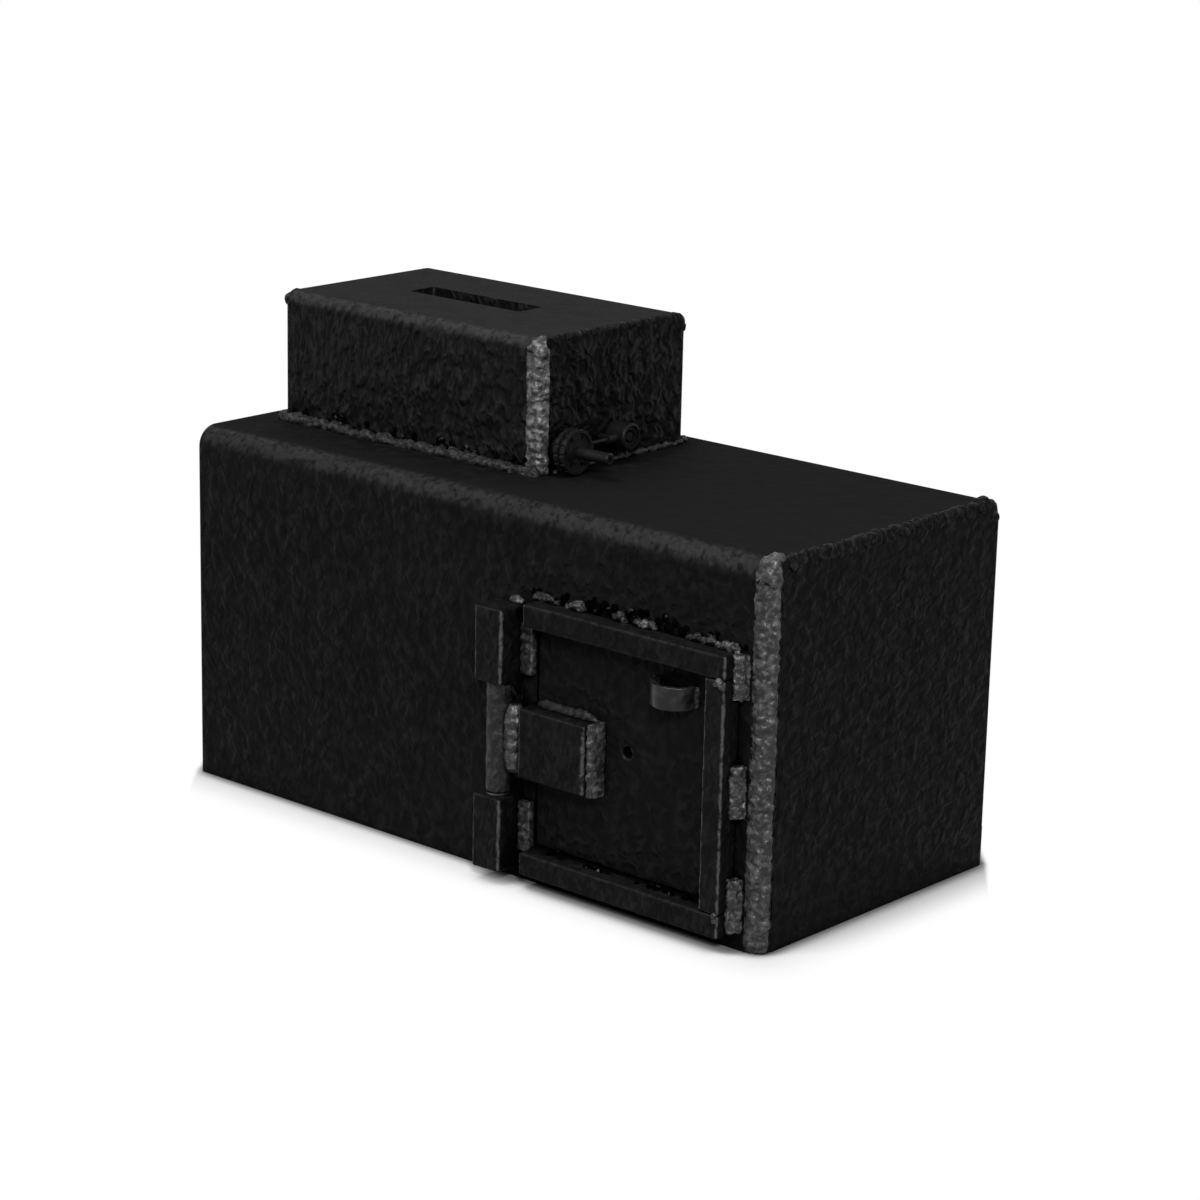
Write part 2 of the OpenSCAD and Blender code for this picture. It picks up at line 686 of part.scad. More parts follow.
// Thick weld that fills the space between the barrel and the end of the strap
module barrel_weld() color(weld) bench() difference() {
    r = (strap_x - hinge_x) / 2 - 2;
    weld_h = strap_h - 1;
    passes = round(weld_h / 6);
    translate([(hinge_x + strap_x) / 2 + 1.6, door_y - r - 1.2, strap_z + 0.5])
        rotate_extrude() polygon(concat([[0, 0]], bead_outline(weld_h, r, 6, 0.9), [[0, weld_h]]));
    translate([hinge_x, hinge_y, strap_z - 1]) cylinder(r = barrel_r, h = strap_h + 2);
    translate([strap_x, door_y - strap_t - 2, strap_z - 1]) cube([strap_t, strap_t + 4, strap_h + 2]);
}

// Welds around the strap: along its top and bottom, down its end and at the barrel
module strap_welds() color(weld) bench() {
    r = strap_weld_r;
    run = strap_end - opening_x - door_gap - 2;
    start = opening_x + door_gap + 1;
    end_passes = 2 * round(strap_h / weld_pitch) + 1;
    end_step = (strap_h + 2) / end_passes;
    translate([start, door_y, strap_z + strap_h]) rotate([90, 0, 90]) mirror([1, 0, 0]) bead(run, r);
    translate([start, door_y, strap_z]) mirror([0, 0, 1]) rotate([90, 0, 90]) mirror([1, 0, 0])
        bead(run, r);
    for (i = [0 : end_passes - 1])
        translate([strap_end, door_y, strap_z - 1 + i * end_step]) mirror([0, 1, 0])
            linear_extrude(end_step) polygon(concat([[0, 0]],
                [for (a = [0 : 15 : 90]) (i % 2 == 0 ? 0.92 : 1)
                    * [strap_end_weld * cos(a), (strap_t - 1.6) * sin(a)]]));
}

// Half ring cut from pipe and welded on edge to the door
module finger_pull() color(black) bench()
    translate([opening_x + pull_x, door_y, opening_z + pull_z]) difference() {
        cylinder(r = pull_r, h = pull_h);
        translate([0, 0, -1]) cylinder(r = pull_r - pull_t, h = pull_h + 2);
        translate([-pull_r - 1, 0, -1]) cube([2 * pull_r + 2, pull_r + 1, pull_h + 2]);
    }

// Weld down the outer side of each foot of the pull
module pull_welds() color(weld) bench()
    translate([opening_x + pull_x, door_y, opening_z + pull_z])
        for (m = [0, 1])
            mirror([m, 0, 0]) translate([pull_r, 0, 0]) mirror([0, 1, 0]) bead(pull_h, 2.6, 3, 0.3);

module case_screw_places()
    for (x = [case_x0 - case_flange / 2, case_x1 + case_flange / 2], z = [case_z0 + 6, case_z1 - 6])
        translate([x, door_back - screw_bite, z]) children();

// Plate on the back of the door that carries the front of the pinion
module lock_front_plate() color(bare) bench() difference() {
    translate([case_x0 - case_flange, door_back, case_z0])
        cube([case_x1 - case_x0 + 2 * case_flange, front_plate_t, case_z1 - case_z0]);
    translate([key_cx, door_back - 1, key_cz]) point_y()
        cylinder(r = front_journal_r + fit_gap, h = front_plate_t + 2);
    case_screw_places() point_y() cylinder(r = case_screw_r, h = screw_bite + front_plate_t + 1);
}

module lock_case() color(bare) bench() {
    y0 = door_back + front_plate_t;
    w = case_x1 - case_x0;
    h = case_z1 - case_z0;
    difference() {
        translate([case_x0, y0, case_z0]) cube([w, case_back - y0, h]);
        translate([case_x0 + case_t, y0 - 1, case_z0 + case_t])
            cube([w - 2 * case_t, case_back - case_t - y0 + 1, h - 2 * case_t]);
        translate([case_x1 - case_t - 1, bolt_y - run_gap, pitch_z - addendum - run_gap])
            cube([case_t + 2, bolt_t + 2 * run_gap, bolt_h + 2 * run_gap]);
        translate([key_cx, case_back - case_t - 1, key_cz]) point_y()
            cylinder(r = rear_journal_r + fit_gap, h = case_t + 2);
    }
}

module lock_screws() color(plated) bench() case_screw_places() point_y() {
    cylinder(r = case_screw_r, h = screw_bite + front_plate_t);
    translate([0, 0, screw_bite + front_plate_t]) difference() {
        cylinder(r = 1.75 * case_screw_r, h = 2);
        translate([0, 0, 0.8]) cylinder(r = 0.8 * case_screw_r, h = 2, $fn = 6);
    }
}

// Bolt with a rack along its lower edge
function rack_tooth(x) =
    let(half = PI * tooth_m / 4 - backlash / 4, root = half + dedendum * tan(pressure),
        tip = half - addendum * tan(pressure))
    [[x - root, rack_root_z], [x - tip, pitch_z - addendum],
     [x + tip, pitch_z - addendum], [x + root, rack_root_z]];
module lock_bolt() color(bare) bench()
    translate([0, bolt_y + bolt_t, 0]) rotate([90, 0, 0]) linear_extrude(bolt_t)
        polygon(concat(
            [[rack_x0, bolt_top], [rack_x0, rack_root_z]],
            [for (i = [rack_first : 1]) each rack_tooth(key_cx + i * rack_pitch)],
            [[bolt_nose_x, rack_root_z], [bolt_nose_x, pitch_z - addendum],
             [bolt_tip, pitch_z - addendum], [bolt_tip, bolt_top]]));

// Pinion: involute teeth, a front journal with a hexagonal socket and a rear journal
function involute_angle(r) = r <= base_r ? 0
    : let(a = acos(base_r / r)) tan(a) * 180 / PI - a;
function half_tooth(r) =
    (PI * tooth_m / 2 - backlash / 2) / (2 * pitch_r) * 180 / PI
    + involute_angle(pitch_r) - involute_angle(r);
flank_steps = 5;
outer_r = pitch_r + addendum;
root_r = pitch_r - dedendum;
function flank_r(i) = base_r + (outer_r - base_r) * i / flank_steps;
function on_circle(r, a) = [r * cos(a), r * sin(a)];
function tooth_points(a) = concat(
    [on_circle(root_r, a - half_tooth(base_r) - 0.5)],
    [for (i = [0 : flank_steps]) on_circle(flank_r(i), a - half_tooth(flank_r(i)))],
    [for (i = [flank_steps : -1 : 0]) on_circle(flank_r(i), a + half_tooth(flank_r(i)))],
    [on_circle(root_r, a + half_tooth(base_r) + 0.5)]);
module lock_pinion() color(bare) bench() translate([key_cx, 0, key_cz]) {
    front_y = door_back + 0.8;
    difference() {
        union() {
            translate([0, front_y, 0]) point_y()
                cylinder(r = front_journal_r, h = bolt_y - front_y + eps);
            translate([0, bolt_y + bolt_t, 0]) rotate([90, 0, 0]) linear_extrude(bolt_t)
                polygon([for (i = [0 : pinion_n - 1]) each
                    tooth_points(90 + (i + 0.5) * 360 / pinion_n)]);
            translate([0, bolt_y + bolt_t - eps, 0]) point_y()
                cylinder(r = rear_journal_r, h = case_back - bolt_y - bolt_t + 0.5);
        }
        translate([0, front_y - 1, 0]) point_y()
            cylinder(r = socket_af / 2 / cos(30), h = 8, $fn = 6);
    }
}

body_shell();
end_plate_left();
end_plate_right();
bottom_plate();
back_bar();
end_weld_left();
end_weld_right();
body_corner_weld();
head_shell();
head_end_left();
head_end_right();
head_weld_left();
head_weld_right();
head_corner_weld();
head_base_weld();
slot_guard();
frame_top_bar();
frame_right_bar();
frame_bottom_bar();
frame_welds();
hinge_block_upper();
hinge_block_lower();
hinge_block_welds();
hinge_pin();
thrust_washer();
door_stop_top();
door_stop_right();
door_stop_bottom();
spindle_bush_right();
spindle_bush_left();
side_lock_barrel();
side_lock_nut();
index_pointer();
door_plate();
hinge_barrel();
hinge_strap();
barrel_weld();
strap_welds();
finger_pull();
pull_welds();
lock_front_plate();
lock_case();
lock_screws();
lock_bolt();
lock_pinion();
flap_spindle();
deposit_flap();
flap_catch();
index_disc();
side_lock_plug();
side_lock_cam();
side_lock_cam_screw();
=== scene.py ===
"""Looks for the welded deposit safe: coated plate, weld beads, lock hardware and a plain studio."""
import json
import math
import random
import bmesh
import bpy
from mathutils import Matrix, Vector


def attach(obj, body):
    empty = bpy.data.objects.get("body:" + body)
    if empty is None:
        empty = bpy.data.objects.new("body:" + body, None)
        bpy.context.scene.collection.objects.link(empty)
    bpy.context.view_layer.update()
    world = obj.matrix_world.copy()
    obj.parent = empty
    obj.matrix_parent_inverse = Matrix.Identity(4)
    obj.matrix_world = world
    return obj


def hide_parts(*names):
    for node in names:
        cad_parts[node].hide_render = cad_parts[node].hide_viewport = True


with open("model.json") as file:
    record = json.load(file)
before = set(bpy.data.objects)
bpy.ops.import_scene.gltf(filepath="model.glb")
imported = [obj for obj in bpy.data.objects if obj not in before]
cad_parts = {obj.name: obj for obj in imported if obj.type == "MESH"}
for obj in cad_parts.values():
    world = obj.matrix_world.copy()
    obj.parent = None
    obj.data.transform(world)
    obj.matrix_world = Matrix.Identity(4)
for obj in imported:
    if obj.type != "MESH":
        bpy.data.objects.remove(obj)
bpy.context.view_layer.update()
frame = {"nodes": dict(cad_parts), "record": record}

MM = 0.001
BOX_L, BOX_W = 413.0, 191.0


def at(x, y, z):
    """A point measured in millimetres from the box's front left bottom corner, in scene metres."""
    return Vector(((x - BOX_L / 2) * MM, (y - BOX_W / 2) * MM, z * MM))


# Materials

def rgb(text):
    """Turns an sRGB hex colour into linear values."""
    parts = [int(text[i:i + 2], 16) / 255 for i in (1, 3, 5)]
    return [c / 12.92 if c <= 0.04045 else ((c + 0.055) / 1.055) ** 2.4 for c in parts] + [1.0]


WHITE = rgb("#ffffff")
# Painted shade: near-black put where light doesn't get to, in crevices and inside
CREVICE_SHADE = rgb("#020202")


def add(tree, kind, inputs=None, stops=None, **settings):
    """Adds a node. Its inputs are numbers, colours or other nodes' outputs, and stops are the
    colours of a ramp."""
    node = tree.nodes.new(kind)
    for name, value in settings.items():
        setattr(node, name, value)
    for key, value in (inputs or {}).items():
        if isinstance(value, bpy.types.NodeSocket):
            tree.links.new(value, node.inputs[key])
        else:
            node.inputs[key].default_value = value
    for i, (place, colour) in enumerate(stops or []):
        points = node.color_ramp.elements
        point = points[i] if i < len(points) else points.new(place)
        point.position, point.color = place, rgb(colour)
    return node


def start(name):
    """A new material with an empty node tree and object coordinates."""
    mat = bpy.data.materials.new(name)
    mat.use_nodes = True
    tree = mat.node_tree
    tree.nodes.clear()
    return mat, tree, add(tree, "ShaderNodeTexCoord").outputs["Object"]


def finish_material(tree, shader):
    """Sends the shader to the material's output."""
    out = add(tree, "ShaderNodeOutputMaterial")
    tree.links.new(shader.outputs[0], out.inputs["Surface"])


def per_metre(size_mm, stretch=(1, 1, 1)):
    """The scale that makes a pattern's cells size_mm across, drawn out along an axis by stretch."""
    return [1 / (size_mm * MM * s) for s in stretch]


# Sizes of the patterns that every texture coat shares, in millimetres
PATCH_PER_WORM = 3.5
CLOUD_MM = 38
GRAIN_MM, GRAIN_STRETCH = 3.3, (1, 1, 1.5)
# How near other metal paints narrow gaps black as shade, and how near it paints the inside black as
# shade and thins the dust as painted shade, in millimetres
NARROW_MM, SHELTER_MM = 12, 60
# The same for the painted shade between lumps of weld
PIT_MM = 6
# Stains and tool marks on bare steel, in millimetres
STAIN_MM, MARK_DEEP_MM = 9, 0.05


def texture_coat(name, dark, light, ridge, dust_and_sheen, highlight_colour, highlight_strength, gloss, level, worm_mm, depth,
                 stretch):
    """Polyester texture powder coat: dull black, sprayed thick, so it crept into short worms that
    hang down on upright plate. Level plate carries a thin film of dust, greyer and duller; its
    lighter colour also paints the sheen of the level tops, and it thins beside upright metal as
    painted shade.
    Crevices and the inside are painted black as shade, and upright edges and the long bends get a
    painted grey highlight: upright edges by the first value of the highlight strength, the long
    bends by the second."""
    mat, tree, coords = start(name)
    normal = add(tree, "ShaderNodeTexCoord").outputs["Normal"]
    lean = add(tree, "ShaderNodeVectorMath", {0: normal}, operation="ABSOLUTE")
    lean = add(tree, "ShaderNodeSeparateXYZ", {0: lean.outputs[0]})
    facing = add(tree, "ShaderNodeSeparateXYZ", {0: normal})
    lying = add(tree, "ShaderNodeMapRange",
                {"Value": facing.outputs["Z"], "From Min": 0.86, "From Max": 0.99},
                interpolation_type="SMOOTHSTEP").outputs[0]
    # Painted shade: narrow gaps and the inside are made black, as the shade that lies there
    open_air = add(tree, "ShaderNodeAmbientOcclusion", {"Distance": NARROW_MM * MM}, samples=12)
    unshaded = add(tree, "ShaderNodeMapRange",
                  {"Value": open_air.outputs["AO"], "From Min": 0.2, "From Max": 0.6},
                  interpolation_type="SMOOTHSTEP")
    sheltered = add(tree, "ShaderNodeAmbientOcclusion", {"Distance": SHELTER_MM * MM}, samples=16)
    outside = add(tree, "ShaderNodeMapRange",
                  {"Value": sheltered.outputs["AO"], "From Min": 0.36, "From Max": 0.48},
                  interpolation_type="SMOOTHSTEP")
    unshaded = add(tree, "ShaderNodeMath", {0: unshaded.outputs[0], 1: outside.outputs[0]},
                  operation="MULTIPLY")
    # Worms, thick in patches and calmer on level plate
    spread = add(tree, "ShaderNodeMapping",
                 {"Vector": coords, "Scale": per_metre(worm_mm, stretch)})
    creep = add(tree, "ShaderNodeTexNoise",
                {"Vector": spread.outputs[0], "Scale": 1.0, "Detail": 1.3, "Roughness": 0.5,
                 "Distortion": 0.5})
    spread = add(tree, "ShaderNodeMapping",
                 {"Vector": coords, "Scale": per_metre(worm_mm * PATCH_PER_WORM)})
    patches = add(tree, "ShaderNodeTexNoise",
                  {"Vector": spread.outputs[0], "Scale": 1.0, "Detail": 2.0})
    thick = add(tree, "ShaderNodeMapRange",
                {"Value": patches.outputs["Fac"], "From Min": 0.38, "From Max": 0.6,
                 "To Min": 0.55})
    calm = add(tree, "ShaderNodeMapRange", {"Value": lying, "To Min": 1.0, "To Max": 0.25})
    relief = add(tree, "ShaderNodeMath", {0: creep.outputs["Fac"], 1: thick.outputs[0]},
                 operation="MULTIPLY")
    relief = add(tree, "ShaderNodeMath", {0: relief.outputs[0], 1: calm.outputs[0]},
                 operation="MULTIPLY")
    crest = add(tree, "ShaderNodeMapRange",
                {"Value": creep.outputs["Fac"], "From Min": 0.42, "From Max": 0.72})
    crest = add(tree, "ShaderNodeMath", {0: crest.outputs[0], 1: thick.outputs[0]},
                operation="MULTIPLY")
    bump = add(tree, "ShaderNodeBump",
               {"Height": relief.outputs[0], "Strength": 1.0, "Distance": depth * MM})
    # Colour: cloudy black, with lighter crests
    spread = add(tree, "ShaderNodeMapping", {"Vector": coords, "Scale": per_metre(CLOUD_MM)})
    clouds = add(tree, "ShaderNodeTexNoise",
                 {"Vector": spread.outputs[0], "Scale": 1.0, "Detail": 4.0})
    coat = add(tree, "ShaderNodeValToRGB", {"Fac": clouds.outputs["Fac"]},
               stops=[(0.35, dark), (0.65, light)])
    coat = add(tree, "ShaderNodeMix",
               {"Factor": crest.outputs[0], "A": coat.outputs["Color"], "B": rgb(ridge)},
               data_type="RGBA")
    # Dust on level plate, less of it beside upright metal: its lighter colour also paints the sheen
    # of the tops, and its thinning paints the shade beside upright metal
    beyond_wall_shade = add(tree, "ShaderNodeMapRange",
                  {"Value": sheltered.outputs["AO"], "From Min": 0.62, "From Max": 0.96,
                   "To Min": 0.0, "To Max": 1.0})
    swept = add(tree, "ShaderNodeMapRange",
                {"Value": patches.outputs["Fac"], "From Min": 0.35, "From Max": 0.65,
                 "To Min": 0.75, "To Max": 1.25})
    dust_and_sheen_cover = add(tree, "ShaderNodeMath", {0: lying, 1: beyond_wall_shade.outputs[0]}, operation="MULTIPLY")
    dust_and_sheen_cover = add(tree, "ShaderNodeMath", {0: dust_and_sheen_cover.outputs[0], 1: swept.outputs[0]},
                operation="MULTIPLY")
    coat = add(tree, "ShaderNodeMix",
               {"Factor": dust_and_sheen_cover.outputs[0], "A": coat.outputs["Result"], "B": rgb(dust_and_sheen)},
               data_type="RGBA")
    # Painted highlight: a grey colour at upright edges and along the bends, in small spots
    spread = add(tree, "ShaderNodeMapping",
                 {"Vector": coords, "Scale": per_metre(GRAIN_MM, GRAIN_STRETCH)})
    grain = add(tree, "ShaderNodeTexNoise",
                {"Vector": spread.outputs[0], "Scale": 1.0, "Detail": 3.0, "Roughness": 0.6})
    spots = add(tree, "ShaderNodeMapRange",
                {"Value": grain.outputs["Fac"], "From Min": 0.34, "From Max": 0.66, "To Min": 0.4,
                 "To Max": 1.6})
    upright = add(tree, "ShaderNodeMath", {0: lean.outputs["X"], 1: lean.outputs["Y"]},
                  operation="MULTIPLY")
    upright = add(tree, "ShaderNodeMath", {0: upright.outputs[0], 1: spots.outputs[0]},
                  operation="MULTIPLY")
    upright = add(tree, "ShaderNodeMapRange",
                  {"Value": upright.outputs[0], "From Min": 0.08, "From Max": 0.5,
                   "To Max": highlight_strength[0]}, interpolation_type="SMOOTHSTEP")
    bent = add(tree, "ShaderNodeMath", {0: lean.outputs["Z"], 1: lean.outputs["Y"]},
               operation="MULTIPLY")
    bent = add(tree, "ShaderNodeMath", {0: bent.outputs[0], 1: spots.outputs[0]},
               operation="MULTIPLY")
    bent = add(tree, "ShaderNodeMapRange",
               {"Value": bent.outputs[0], "From Min": 0.06, "From Max": 0.62, "To Max": highlight_strength[1]},
               interpolation_type="SMOOTHSTEP")
    painted_highlight = add(tree, "ShaderNodeMath", {0: upright.outputs[0], 1: bent.outputs[0]}, operation="ADD")
    coat = add(tree, "ShaderNodeMix",
               {"Factor": painted_highlight.outputs[0], "A": coat.outputs["Result"], "B": rgb(highlight_colour)},
               data_type="RGBA")
    # Painted shade: crevices and the inside turn near-black
    coat = add(tree, "ShaderNodeMix",
               {"Factor": unshaded.outputs[0], "A": CREVICE_SHADE, "B": coat.outputs["Result"]},
               data_type="RGBA")
    sheen = add(tree, "ShaderNodeMapRange",
                {"Value": creep.outputs["Fac"], "From Min": 0.35, "From Max": 0.65,
                 "To Min": gloss[1], "To Max": gloss[0]})
    rough = add(tree, "ShaderNodeMapRange",
                {"Value": lying, "To Min": sheen.outputs[0], "To Max": 0.95})
    shader = add(tree, "ShaderNodeBsdfPrincipled",
                 {"Base Color": coat.outputs["Result"], "Roughness": rough.outputs[0],
                  "Specular IOR Level": level, "Normal": bump.outputs[0]})
    finish_material(tree, shader)
    return mat


def weld_coat(name, pit, dark, light, gloss, level, lump_mm, depth):
    """The same coat over weld: it pulled thin over spatter and lumps, which look grey, partly as a
    painted sheen, and shine a little. The crevices between the passes are painted black as shade."""
    mat, tree, coords = start(name)
    spread = add(tree, "ShaderNodeMapping", {"Vector": coords, "Scale": per_metre(lump_mm)})
    lumps = add(tree, "ShaderNodeTexNoise",
                {"Vector": spread.outputs[0], "Scale": 1.0, "Detail": 2.0, "Roughness": 0.55,
                 "Distortion": 0.3})
    open_air = add(tree, "ShaderNodeAmbientOcclusion", {"Distance": PIT_MM * MM}, samples=6)
    unshaded = add(tree, "ShaderNodeMapRange",
                  {"Value": open_air.outputs["AO"], "From Min": 0.2, "From Max": 0.7},
                  interpolation_type="SMOOTHSTEP")
    colour = add(tree, "ShaderNodeValToRGB", {"Fac": lumps.outputs["Fac"]},
                 stops=[(0.35, pit), (0.66, light), (0.5, dark)])
    # Painted shade: the crevices between lumps turn near-black
    colour = add(tree, "ShaderNodeMix",
                 {"Factor": unshaded.outputs[0], "A": CREVICE_SHADE, "B": colour.outputs["Color"]},
                 data_type="RGBA")
    bump = add(tree, "ShaderNodeBump",
               {"Height": lumps.outputs["Fac"], "Strength": 1.0, "Distance": depth * MM})
    rough = add(tree, "ShaderNodeMapRange",
                {"Value": lumps.outputs["Fac"], "From Min": 0.35, "From Max": 0.65,
                 "To Min": gloss[1], "To Max": gloss[0]})
    shader = add(tree, "ShaderNodeBsdfPrincipled",
                 {"Base Color": colour.outputs["Result"], "Roughness": rough.outputs[0],
                  "Specular IOR Level": level, "Normal": bump.outputs[0]})
    finish_material(tree, shader)
    return mat


def machined_steel(name, dark, light, gloss, marks_mm, metallic=1.0, level=0.5):
    """Turned or milled steel: fine marks of the tool under a film of oil or a thin plating."""
    mat, tree, coords = start(name)
    spread = add(tree, "ShaderNodeMapping",
                 {"Vector": coords, "Scale": per_metre(marks_mm, (6, 1, 1))})
    marks = add(tree, "ShaderNodeTexNoise",
                {"Vector": spread.outputs[0], "Scale": 1.0, "Detail": 2.0})
    spread = add(tree, "ShaderNodeMapping", {"Vector": coords, "Scale": per_metre(STAIN_MM)})
    stains = add(tree, "ShaderNodeTexNoise",
                 {"Vector": spread.outputs[0], "Scale": 1.0, "Detail": 4.0})
    colour = add(tree, "ShaderNodeValToRGB", {"Fac": stains.outputs["Fac"]},
                 stops=[(0.3, dark), (0.7, light)])
    rough = add(tree, "ShaderNodeMapRange",
                {"Value": marks.outputs["Fac"], "From Min": 0.3, "From Max": 0.7,
                 "To Min": gloss[0], "To Max": gloss[1]})
    bump = add(tree, "ShaderNodeBump",
               {"Height": marks.outputs["Fac"], "Strength": 0.4, "Distance": MARK_DEEP_MM * MM})
    shader = add(tree, "ShaderNodeBsdfPrincipled", {
        "Base Color": colour.outputs["Color"], "Roughness": rough.outputs[0], "Metallic": metallic,
        "Specular IOR Level": level, "Normal": bump.outputs[0]})
    finish_material(tree, shader)
    return mat


# Texture powder coat on the box: worms hang down its walls, and its top is dusty, the dust lighter
# also as a painted sheen
BOX_COAT = texture_coat("powder_coat_on_box", dark="#090909", light="#0d0d0d", ridge="#161616",
                        dust_and_sheen="#141414", highlight_colour="#5c5c5c", highlight_strength=(0.12, 0.16), gloss=(0.4, 0.55),
                        level=0.03, worm_mm=4.8, depth=2.4, stretch=(1.25, 1.25, 1.35))
# The box's two ends: the same coat, thinner and flatter, and a little darker as painted shade
END_COAT = texture_coat("powder_coat_on_ends", dark="#070707", light="#0a0a0a", ridge="#121212",
                        dust_and_sheen="#121212", highlight_colour="#5c5c5c", highlight_strength=(0.06, 0.1), gloss=(0.42, 0.58),
                        level=0.028, worm_mm=4.6, depth=1.7, stretch=(1, 1.4, 1.1))
# The head's coat went on thicker, so its worms stand out more, and its top shows more dust, lighter
# also as a painted sheen
HEAD_COAT = texture_coat("powder_coat_on_head", dark="#080808", light="#0d0d0d", ridge="#1e1e1e",
                         dust_and_sheen="#222223", highlight_colour="#5c5c5c", highlight_strength=(0.12, 0.22), gloss=(0.38, 0.52),
                         level=0.035, worm_mm=4.2, depth=4.4, stretch=(1, 1, 1.8))
# The head's two ends, darker between their worms
HEAD_END_COAT = texture_coat("powder_coat_on_head_ends", dark="#040404", light="#070707",
                             ridge="#181818", dust_and_sheen="#212122", highlight_colour="#5c5c5c", highlight_strength=(0.06, 0.1),
                             gloss=(0.36, 0.5), level=0.028, worm_mm=5.0, depth=3.9,
                             stretch=(1, 1.3, 1.2))
# The coat on bars, blocks and strap: finer, with a strong painted highlight at the upright edges
BAR_COAT = texture_coat("powder_coat_on_bars", dark="#090909", light="#0e0e0e", ridge="#1a1a1a",
                        dust_and_sheen="#101010", highlight_colour="#6e6e6e", highlight_strength=(0.42, 0.05), gloss=(0.38, 0.55),
                        level=0.035, worm_mm=4.4, depth=2.2, stretch=(1, 1, 1.3))
# The finger pull's coat, smooth and a little shiny from hands
PULL_COAT = weld_coat("powder_coat_on_pull", pit="#080808", dark="#141414", light="#262626",
                      gloss=(0.28, 0.42), level=0.26, lump_mm=6.0, depth=0.5)
# The coat over raw weld: grey lumps, partly a painted sheen, with dark pits
WELD_COAT = weld_coat("powder_coat_on_weld", pit="#0a0a0a", dark="#222222", light="#4a4a4a",
                      gloss=(0.32, 0.52), level=0.34, lump_mm=3.6, depth=1.1)
# The same on the head's corner, lighter as a painted highlight where it shines most
BRIGHT_WELD_COAT = weld_coat("powder_coat_on_head_corner", pit="#0e0e0e", dark="#363636",
                             light="#686868", gloss=(0.3, 0.5), level=0.42, lump_mm=3.6, depth=1.1)
# The coat on the barrel, turned steel with a few runs, lighter partly as a painted sheen
BARREL_COAT = weld_coat("powder_coat_on_barrel", pit="#080808", dark="#151515", light="#303030",
                        gloss=(0.34, 0.52), level=0.2, lump_mm=5.0, depth=1.1)
# The coat over small beads, where it filled most pits
BEAD_COAT = weld_coat("powder_coat_on_beads", pit="#090909", dark="#161616", light="#2c2c2c",
                      gloss=(0.4, 0.6), level=0.17, lump_mm=2.8, depth=0.9)
# The coat over the rough upper edges of the ends, nearly as dark as the plate
EDGE_COAT = weld_coat("powder_coat_on_rough_edges", pit="#050505", dark="#0b0b0b", light="#1e1e1e",
                      gloss=(0.42, 0.6), level=0.05, lump_mm=3.0, depth=1.3)
# Painted shade: dead black for lumps beside the beads and for the guard inside the slot, where
# shade lies
SHADE_BLACK = machined_steel("painted_shade_black", dark="#020202", light="#050505", gloss=(0.85, 0.95),
                      marks_mm=2.0, metallic=0.0, level=0.0)
# Oiled bare steel of the lock, flap and pins
BARE_STEEL = machined_steel("oiled_steel", dark="#4c4d50", light="#6a6b6e", gloss=(0.28, 0.45),
                            marks_mm=0.35)
# Blackened steel of the spindle, worn to a low shine
BLACK_STEEL = machined_steel("blackened_steel", dark="#101010", light="#1b1b1b", gloss=(0.35, 0.5),
                             marks_mm=0.35, metallic=0.45, level=0.15)
# The same on the disc and the lock barrel, duller and darker
DULL_STEEL = machined_steel("dull_blackened_steel", dark="#0a0a0a", light="#131313",
                            gloss=(0.42, 0.6), marks_mm=0.35, metallic=0.15, level=0.12)
# Dull zinc plate on the nut and the screws
ZINC = machined_steel("zinc_plate", dark="#8b8878", light="#a7a493", gloss=(0.25, 0.4),
                      marks_mm=0.35)


# Mesh helpers

def link(obj):
    """Puts an object into the scene."""
    bpy.context.scene.collection.objects.link(obj)
    return obj


def settle(obj):
    """Replaces the object's mesh by what its modifiers make of it."""
    graph = bpy.context.evaluated_depsgraph_get()
    made = bpy.data.meshes.new_from_object(obj.evaluated_get(graph))
    obj.modifiers.clear()
    obj.data = made
    return obj


def roughen(obj, voxel_mm, lumps, smooth):
    """Closes the mesh with even voxels, softens it and pushes it in and out by cloudy noise."""
    mod = obj.modifiers.new("voxels", "REMESH")
    mod.mode = "VOXEL"
    mod.voxel_size = voxel_mm * MM
    soft = obj.modifiers.new("soften", "SMOOTH")
    soft.iterations = smooth
    soft.factor = 0.5
    for size_mm, depth_mm in lumps:
        clouds = bpy.data.textures.new("lumps_%g_mm" % size_mm, "CLOUDS")
        clouds.noise_scale = size_mm * MM
        clouds.noise_depth = 1
        push = obj.modifiers.new("push", "DISPLACE")
        push.texture = clouds
        push.texture_coords = "GLOBAL"
        push.mid_level = 0.5
        push.strength = depth_mm * MM
    return settle(obj)


def body_of(node):
    """The body that a CAD node moves with."""
    return next(b for b, nodes in frame["record"]["behaviour"]["bodies"].items() if node in nodes)


def go_with(obj, node, material):
    """Coats a finished mesh and makes it go with a CAD node's body."""
    obj.data.materials.clear()
    obj.data.materials.append(material)
    for face in obj.data.polygons:
        face.use_smooth = True
    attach(obj, body_of(node))


def add_lumps(mesh, spots):
    """Adds a round lump for each (centre, radius) in millimetres."""
    for centre, radius in spots:
        place = Matrix.Translation(at(*centre)) @ Matrix.Diagonal((radius * MM,) * 3 + (1,))
        bmesh.ops.create_icosphere(mesh, subdivisions=2, radius=1.0, matrix=place)


def coated(node, material, voxel_mm, lumps, smooth=2):
    """A copy of a CAD node with the soft edges and uneven faces of thick coat over sawn bar."""
    obj = link(bpy.data.objects.new("coated_" + node, frame["nodes"][node].data.copy()))
    go_with(roughen(obj, voxel_mm, lumps, smooth), node, material)
    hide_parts(node)


